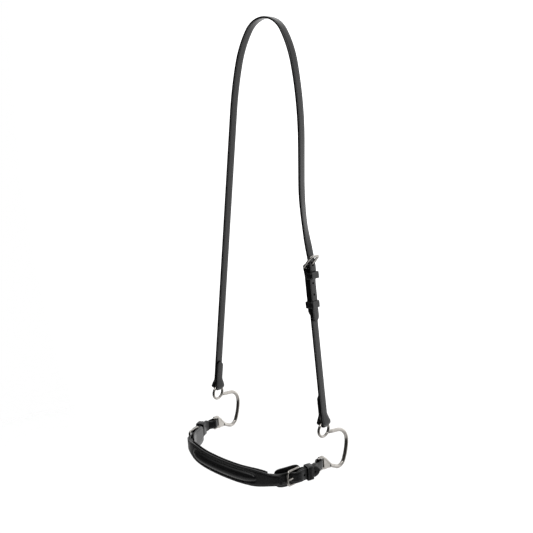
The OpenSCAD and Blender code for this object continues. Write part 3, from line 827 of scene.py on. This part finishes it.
# ---- Steel ------------------------------------------------------------------------------------
def buckle_frame(name, place, width, body, cad):
    """A closed wire frame: its pivot bar along the place's Y axis, its front bar up Z."""
    near, far = 1.6, 3.6
    route = [(width - 2 * near, 0), arc(near, 90), (FRAME_L - near - far, 0), arc(far, 90),
             (width - 2 * far, 0), arc(far, 90), (FRAME_L - near - far, 0), arc(near, 90)]
    poses = walk((-width / 2 + near, 0, 0), route, 0.5)[:-1]
    pts = [place @ Vector((0, y, z)) for y, z, _ in poses]

    def gauge(i):
        # the front bar is a little fuller than the pivot bar
        return FRAME_D / 2 * (0.97 + 0.05 * smooth(poses[i][1] / FRAME_L))

    return to_object(name, tube(pts, gauge, closed=True, sides=24), STEEL, body, cad)


def buckle_tongue(name, place, body, cad, dip=0.0):
    """A tongue from its curl to its tip; dip is how far its middle is bent inwards."""
    r = FRAME_D / 2 + 0.15 + 0.85
    curl = [(r * cosd(a), r * sind(a)) for a in range(62, 352, 12)]
    line = curl + [(r + 0.1, 0.6), (pin_off - dip * 0.5, 4), (pin_off - dip, 8), (pin_off - dip, 11.5),
                   (pin_off - dip * 0.3, 15), (pin_off, 18), (pin_off - 0.1, FRAME_L + 0.8),
                   (pin_off - 0.25, FRAME_L + 1.9)]
    pts = relax(resample([place @ Vector((x, 0, z)) for x, z in line], 0.5), 2)
    s = lengths(pts)
    total = s[-1]

    def gauge(i):
        body_r = lookup([(0, 0.85), (13, 0.95), (18, TONGUE_D / 2)], s[i])
        tip = total - s[i]
        body_r *= lookup([(0, 0.78), (8, 1.0)], tip)
        return body_r * (math.sqrt(max(0.02, 1 - (1 - tip / 0.9) ** 2)) if tip < 0.9 else 1.0)

    return to_object(name, tube(pts, gauge, sides=20), STEEL, body, cad)


crown_pivot = ON_CHEEK @ rot("Y", CROWN_FRAME_TILT)
buckle_frame("crown_buckle_steel", crown_pivot, CROWN_FRAME_W, "crown_frame", ["crown_buckle_frame"])
buckle_tongue("crown_tongue_steel", crown_pivot, "crown_tongue", ["crown_buckle_tongue"])


def loop_piece(side_name, x, splay):
    """A steel loop: ring, bow and slotted eye, run together by one remesh.

    The bow, the eye's rims and its web are drawn as (y, z) in the plane of the loop.
    """
    hang = Matrix.Rotation(math.radians(splay), 4, Vector((0, EYE_Y, EYE_Z + DROP)))
    place = shift(x, 0, -DROP) @ hang @ rot("X", -LOOP_TILT)
    ring = [place @ Vector((0, RING_R * cosd(a), RING_R * sind(a))) for a in range(0, 360, 6)]
    bm = tube(ring, RING_ROD_D / 2, closed=True, sides=20)
    bow = walk((10.0, -4.6, 0), [(18.5, 0), (30.5, -84), (27, -22), (17.6, -92), (15, 0)], 1.0)
    bow_pts = [place @ Vector((0, y, z)) for y, z, _ in bow]
    tube(bow_pts, lambda i: lookup([(0, 2.35), (6, ROD_D / 2)], i), sides=24, bm=bm)
    eye = place @ shift(0, *EYE_AT) @ rot("X", NOSE_DROOP + LOOP_TILT)
    half, bar_r = EYE_SLOT_H / 2, EYE_BAR_D / 2
    slot = 5.6 + bar_r
    rim = [(0, half + 1.2), (slot - 0.5, half + 0.9), (slot + 2.4, half - 2.2), (slot + 6.2, 1.4),
           (slot + 11, -4.8), (slot + 14.6, -9.2)]
    low = [(0, -half - 1.3), (slot, -half - 1.7), (slot + 3, -half - 2.8), (slot + 8, -half - 3.0),
           (slot + 13.5, -half - 4.4)]
    for line in (rim, low):
        pts = relax(densify([eye @ Vector((0, p, q)) for p, q in line], 1.0), 4)
        tube(pts, 2.0, sides=16, bm=bm)
    bar = [eye @ Vector((0, 0, q)) for q in (-half - 1.6, 0, half + 1.6)]
    tube(densify(bar, 1.5), bar_r, sides=20, bm=bm)
    web = [(slot, half + 0.6), (slot, -half - 1.8), (slot + 8, -half - 3.2), (slot + 13.5, -half - 4.6),
           (slot + 14.6, -9), (slot + 11, -4.8), (slot + 6.2, 1.4), (slot + 2.4, half - 2.2)]
    faces = []
    for x_off in (-1.75, 1.75):
        faces.append([bm.verts.new(eye @ Vector((x_off, p, q))) for p, q in web])
    bm.faces.new(faces[0])
    bm.faces.new(list(reversed(faces[1])))
    m = len(web)
    for k in range(m):
        bm.faces.new((faces[0][k], faces[1][k], faces[1][(k + 1) % m], faces[0][(k + 1) % m]))
    obj = to_object(side_name + "_loop_steel", bm, STEEL, side_name + "_loop",
                    [side_name + "_loop"])
    remesh = obj.modifiers.new("run_together", "REMESH")
    remesh.mode = "VOXEL"
    remesh.voxel_size = 0.42 * MM
    remesh.use_smooth_shade = True
    ease = obj.modifiers.new("ease", "SMOOTH")
    ease.factor = 0.5
    ease.iterations = 7
    apply_modifiers(obj)


loop_piece("left", LEFT_X, -LOOP_SPLAY)
loop_piece("right", RIGHT_X, LOOP_SPLAY)

# ---- Nosepiece ------------------------------------------------------------------------------
# One half of the strap in the nosepiece's plan, from its middle to its free end: round the
# nose, in under the pivot bar, out over it and along behind the buckle.
FREE_BENDS = [(24, 4), (60, 23), (17, 63 - SIDE_TAPER)]
BILLET_BENDS = [(6, -36), (5.1, 0), (6, 36), (3, 0), (4, 16), (1.5, 0), (4, -16), (21.3, 0)]
free_end = end_of((0, 0, 0), FREE_BENDS)
under_bar = in_frame(PIVOT_POSE, 20, -0.6)
NOSE_START = (0, under_bar[1] - free_end[1], 0)
NOSE_BENDS = [(24 + under_bar[0] - free_end[0], 4)] + FREE_BENDS[1:]
NOSE_UP = (ON_NOSE.to_3x3() @ Vector((0, 0, 1))).normalized()


half_line = [(x, y) for x, y, _ in walk(NOSE_START, NOSE_BENDS + BILLET_BENDS, 0.9)]
other_half = [(-x, y) for x, y in reversed(half_line)][:-1]
nose_flat = relax(resample([Vector((x, y, 0)) for x, y in other_half + half_line], 1.0), 2)
nose_pts = [ON_NOSE @ p for p in nose_flat]
nose_s = lengths(nose_pts)
NOSE_MID = nose_s[-1] / 2


def nose_section(i):
    left = min(nose_s[i], nose_s[-1] - nose_s[i])
    return strap_section(taper_tip(left, BILLET_W, 8.5), STRAP_T)


nose = to_object("nose_strap_leather", ribbon(nose_pts, NOSE_UP, nose_section),
                 BRIDLE, "noseband", ["nose_strap"])
nose_cuts = []
for side in (-1, 1):
    pivot_place = on_plan(side, PIVOT_POSE)
    tongue_slot = block(pivot_place @ shift(0, -13.2, 0), (24, 6, TONGUE_D + 0.6), 1.5)
    nose_cuts.append(tongue_slot)
    nose_cuts += [peg(pivot_place @ shift(15, y, 0), HOLE_R, 30) for y in (5, 21.5)]
cut(nose, nose_cuts)


def offset_line(line, off):
    """A line beside another one in the nosepiece's plane, off to its left."""
    out = []
    for i, p in enumerate(line):
        along = (line[min(i + 1, len(line) - 1)] - line[max(i - 1, 0)]).normalized()
        out.append(p + Vector((-along.y, along.x, 0)) * off)
    return out


def middle_part(reach):
    """The stretch of the nosepiece within reach of its middle."""
    return [p for p, s in zip(nose_flat, nose_s) if abs(s - NOSE_MID) <= reach]


def pad_width(d, width):
    """Width of the pad at a distance from its middle: full, then drawn in in one sweep."""
    end_w = BILLET_W - 0.4
    over = max(0.0, abs(d) - (PAD_HALF - 6))
    return end_w + (width - end_w) * (0.5 + 0.5 * cosd(180 * min(1, over / (PAD_TAPER + 5))))


def bead_rise(d):
    """How far the bead stands up at a distance from the middle: 1, then down to 0 at its points."""
    past = min(1.0, max(0.0, (abs(d) - (PAD_HALF - 20)) / 22))
    return math.sqrt(1 - past ** 2)


def bead_half_width(d):
    """Half the bead's width there; it narrows as it sinks."""
    return BEAD_W / 2 * (0.25 + 0.75 * bead_rise(d))


def pad_piece():
    """Cover with its rolled bead: the front face of the nosepiece."""
    line = middle_part(PAD_HALF + PAD_TAPER - 0.5)
    base = [ON_NOSE @ p for p in offset_line(line, -(STRAP_T / 2 + LAYER_GAP))]
    s = lengths(base)
    mid = s[-1] / 2

    def section(i):
        d = s[i] - mid
        w = pad_width(d, PAD_W) / 2
        thick = COVER_T * lookup([(0, 0.55), (5, 1.0)], mid - abs(d))
        rise = bead_rise(d)
        bead_w = bead_half_width(d)
        bead_h = BEAD_H * rise
        r = thick * 0.45
        pts = [(w, thick * 0.15, 1.0)]
        pts += [(w - r + r * cosd(a), thick - r + r * sind(a), 0.8 if a < 80 else 0.3)
                for a in (0, 30, 60, 90)]
        valley = min(bead_w + 0.9, w - r - 0.5)
        # the third values darken the cover: its edges for their burnished finish, painted shade in the
        # pressed line and, most, in the valley beside the bead
        pts += [(w - r - 0.6, thick, 0.0), (w - 1.8, thick - 0.16, 0.3), (w - 2.6, thick, 0.0),
                ((w + valley) / 2, thick + 0.05, 0.0),
                (valley + 0.6, thick, 0.1), (valley, thick - 0.5 * rise, 0.8)]
        for k in range(1, 8):
            a = 90 * k / 7
            across = bead_w * cosd(a) ** 0.8 if k < 7 else 0.0
            pts.append((across, thick + bead_h * sind(a) ** 0.9, 0.0))
        full = pts + [(-a, b, e) for a, b, e in reversed(pts[:-1])]
        return full + [(-w, 0, 1.0), (-w * 0.5, 0, 0.0), (0, 0, 0.0), (w * 0.5, 0, 0.0), (w, 0, 1.0)]

    # the section's heights run outwards from the strap
    bm = ribbon(base, -NOSE_UP, section)
    return to_object("nose_pad_cover", bm, BRIDLE, "noseband",
                     ["nose_cover", "nose_core"])


pad = pad_piece()


def lining_piece():
    """The soft inner face of the nosepiece, crowned towards the nose."""
    line = middle_part(PAD_HALF + PAD_TAPER - LINING_SHORT)
    base = [ON_NOSE @ p for p in offset_line(line, STRAP_T / 2 + LAYER_GAP)]
    s = lengths(base)
    mid = s[-1] / 2

    def section(i):
        d = s[i] - mid
        w = pad_width(d, PAD_W - 1) / 2
        thick = LINING_T * lookup([(0, 0.5), (6, 1.0)], mid - abs(d))
        r = thick * 0.6
        pts = [(w, 0.0, 1.0)]
        pts += [(w - r + r * cosd(a), -(thick - r + r * sind(a)), 0.7 if a < 80 else 0.2)
                for a in (0, 30, 60, 90)]
        # the pressed line is painted a little darker as shade
        pts += [(w - 1.8, -(thick - 0.1), 0.3), (w - 3.0, -(thick + 0.05), 0.0),
                (w * 0.45, -(thick + 0.25), 0.0)]
        full = pts + [(0, -(thick + 0.3), 0.0)] + [(-a, b, e) for a, b, e in reversed(pts)]
        return full + [(0, 0, 0.0)]

    bm = ribbon(base, -NOSE_UP, section)
    return to_object("nose_pad_lining", bm, LINING, "noseband", ["nose_lining"])


lining = lining_piece()


def chape_piece(side, name):
    """One closed band: round the eye bar, forward, round the pivot bar and back."""
    half = CHAPE_PLY / 2
    run = CHAPE_RUN - EYE_FOLD_REACH - NOSE_FOLD_REACH
    plies = [route_pose(EYE_POSE, CHAPE_ROUTE, EYE_FOLD_REACH + run * k / 20) for k in range(21)]
    plan = [in_frame(EYE_POSE, v, u) for v, u in fold(EYE_FOLD_R + half, EYE_FOLD_REACH, half, 24)]
    plan += [in_frame(p, 0, -half) for p in plies[1:-1]]
    plan += [in_frame(PIVOT_POSE, -v, -u) for v, u in fold(BUCKLE_FOLD_R + half, NOSE_FOLD_REACH, half)]
    plan += [in_frame(p, 0, half) for p in reversed(plies[1:])]
    flat = densify([Vector((x, y, 0)) for x, y in plan], 0.8)[:-1]
    place = ON_NOSE @ Matrix.Diagonal((side, 1, 1, 1))

    def section(i):
        return strap_section(lookup([(-12, BILLET_W), (-8, EYE_CHAPE_W)], flat[i].y), CHAPE_PLY)

    bm = ribbon([place @ p for p in flat], NOSE_UP, section, closed=True)
    obj = to_object(name, bm, BRIDLE, "noseband", [name.replace("_leather", "")])
    cut(obj, [block(on_plan(side, PIVOT_POSE), (16, 14, 4.2), 2.0)])
    return obj


def safe_piece(side, name):
    """The flap behind a buckle: it follows the strap and its front end turns in."""
    start = (-BUCKLE_FOLD_R - CHAPE_PLY - FIT_GAP - SAFE_T / 2, SAFE_BACK, -90)
    front = SAFE_BACK - SAFE_L
    poses = [p for p in walk(start, [(20, 0), (16, -26), (9, -4)], 0.6)
             if front + 0.1 < p[1] < SAFE_BACK - 0.1]
    place = on_plan(side, PIVOT_POSE)

    def section(i):
        q = abs(poses[i][1] - SAFE_BACK + SAFE_L / 2) / (SAFE_L / 2)
        return strap_section(max(5.0, SAFE_W * (1 - q ** 4) ** 0.25), SAFE_T)

    bm = ribbon([place @ Vector((x, y, -SAFE_DROP)) for x, y, _ in poses], NOSE_UP, section)
    return to_object(name, bm, EDGED, "noseband", [name.replace("_leather", "")])


def stitch(bm, at, along, out, length=2.9, fat=0.4, slant=10):
    """One thread stitch: a flattened grain lying on the leather, a little slanted."""
    turned = Matrix.Rotation(math.radians(slant), 3, out) @ along
    side = turned.cross(out).normalized()
    rings = []
    for k in range(7):
        t = -1 + 2 * k / 6
        r = fat * math.sqrt(max(0.06, 1 - t * t))
        c = at + turned * (t * length / 2) - out * (0.22 * t * t)
        rings.append([bm.verts.new(c + side * (r * cosd(a)) + out * (r * 0.8 * sind(a)))
                      for a in range(0, 360, 45)])
    for r0, r1 in zip(rings, rings[1:]):
        for k in range(8):
            bm.faces.new((r0[k], r0[(k + 1) % 8], r1[(k + 1) % 8], r1[k]))
    bm.faces.new(rings[0])
    bm.faces.new(rings[-1])


def stitch_rows(name, rows, body, cad):
    """One piece of thread; each row is (place, spots, along, out) in the place's own axes."""
    bm = bmesh.new()
    for place, spots, along, out in rows:
        turn = place.to_3x3()
        ahead = (turn @ Vector(along)).normalized()
        outward = (turn @ Vector(out)).normalized()
        for spot in spots:
            stitch(bm, place @ Vector(spot), ahead, outward)
    return to_object(name, bm, THREAD, body, cad)


def end_rows(place):
    """Two rows of stitches on each face of a turned end."""
    rows = []
    for face in (-1, 1):
        for edge in (-1, 1):
            across = edge * (STRAP_W / 2 - STITCH_INSET)
            spots = [(face * STRAP_T, across, 18 + 4 * k) for k in range(4)]
            rows.append((place, spots, (0, 0, 1), (face, 0, 0)))
    return rows


stitch_rows("left_end_thread", end_rows(ON_LEFT_END), "headstall", ["left_end_stitching"])
stitch_rows("right_end_thread", end_rows(ON_RIGHT_END), "headstall", ["right_end_stitching"])
chape_rows = []
for edge in (-1, 1):
    across = edge * (STRAP_W / 2 - STITCH_INSET)
    spots = [(-STRAP_T, across, -20 - 4 * k) for k in range(11)]
    chape_rows.append((ON_CHEEK, spots, (0, 0, 1), (-1, 0, 0)))
stitch_rows("crown_chape_thread", chape_rows, "headstall", ["crown_chape_stitching"])

SIDES = ((-1, "left"), (1, "right"))
for side, name in SIDES:
    chape_piece(side, name + "_chape_leather")
    safe_piece(side, name + "_safe_leather")
    spots = [(-CHAPE_PLY, 0, edge * (BILLET_W / 2 - STITCH_INSET)) for edge in (-1, 1)]
    rows = [(on_plan(side, route_pose(EYE_POSE, CHAPE_ROUTE, d)), spots, (0, 1, 0), (-1, 0, 0))
            for d in (11, 15, 23, 27)]
    stitch_rows(name + "_chape_thread", rows, "noseband", [name + "_chape_stitching"])
    buckle_frame(name + "_buckle_steel", at_pivot(side), FRAME_W, name + "_frame",
                 [name + "_buckle_frame"])
    buckle_tongue(name + "_tongue_steel", at_pivot(side), name + "_tongue",
                  [name + "_buckle_tongue"], dip=1.3)
    # inner and outer face of the space inside the keeper, out from the middle of the chape
    low, high = -CHAPE_PLY - KEEPER_GAP, CHAPE_PLY + LAYER_GAP + STRAP_T + 1.4
    keeper_place = on_plan(side, PIVOT_POSE) @ shift((low + high) / 2, KEEPER_BACK, 0) @ rot("X", 90)
    keeper_piece(name + "_keeper_leather", keeper_place, (high - low, BILLET_W + 0.6),
                 name + "_keeper", [name + "_keeper"])


def pad_stitches():
    """Four rows on the cover: beside the bead and along the edges."""
    bm = bmesh.new()
    line = middle_part(PAD_HALF + 4)
    face = [ON_NOSE @ p for p in offset_line(line, -(STRAP_T / 2 + COVER_T))]
    s = lengths(face)
    mid = s[-1] / 2
    pitch = 3.6
    count = int((PAD_HALF - 4) // pitch)
    for k in range(-count, count + 1):
        at = mid + k * pitch
        i = min(range(len(s)), key=lambda j: abs(s[j] - at))
        along = (face[min(i + 1, len(face) - 1)] - face[i - 1]).normalized()
        out = along.cross(NOSE_UP).normalized()
        if out.dot(face[i] - ON_NOSE @ Vector((0, 0, 0))) < 0:
            out = -out
        beside_bead = bead_half_width(s[i] - mid) + 1.3
        near_edge = pad_width(s[i] - mid, PAD_W) / 2 - 2.0
        for row in (-1, 1):
            for across in (beside_bead, near_edge):
                stitch(bm, face[i] + NOSE_UP * (row * across), along, out, length=2.7, slant=row * 10)
    to_object("nose_pad_thread", bm, THREAD, "noseband", ["nose_stitching"])


pad_stitches()
